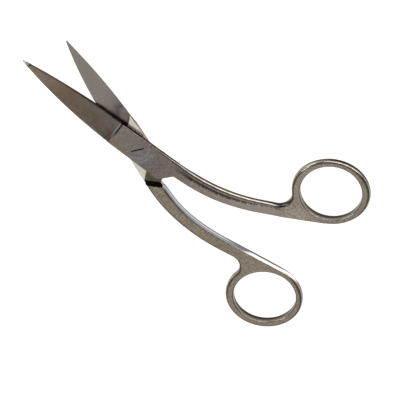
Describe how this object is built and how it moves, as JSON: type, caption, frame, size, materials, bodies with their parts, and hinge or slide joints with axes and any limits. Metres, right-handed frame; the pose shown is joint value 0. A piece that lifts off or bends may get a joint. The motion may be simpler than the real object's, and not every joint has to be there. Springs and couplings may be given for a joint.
{
  "type": "bent-handle needlework scissors",
  "caption": "Steel scissors for thread and fine needlework: straight pointed blades, handles bent sideways, round finger rings, and a flush slotted pivot screw.",
  "frame": {"origin": "the pivot axis where it leaves the resting face, the flat underside of the lower half", "axes": "+Z along the pivot axis, away from the resting face, towards the slotted screw head; -X along the lower blade towards its point; +X towards the handles, which bend towards +Y"},
  "size_m": [0.1498, 0.0918, 0.0032],
  "materials": {
    "ground_steel": "ground and tumbled stainless steel, warm grey, with polished highlights on the rounded edges",
    "screw_steel": "stainless steel screw, head ground flush with the blade"
  },
  "bodies": {
    "lower_body": {"lower_half": "ground_steel", "pivot_screw": "screw_steel"},
    "upper_body": {"upper_half": "ground_steel"}
  },
  "joints": [
    {"name": "pivot", "type": "hinge", "parent": "lower_body", "child": "upper_body", "pos_m": [0, 0, 0.0016], "axis": [0, 0, 1], "range_deg": [-20.5, 45]}
  ]
}
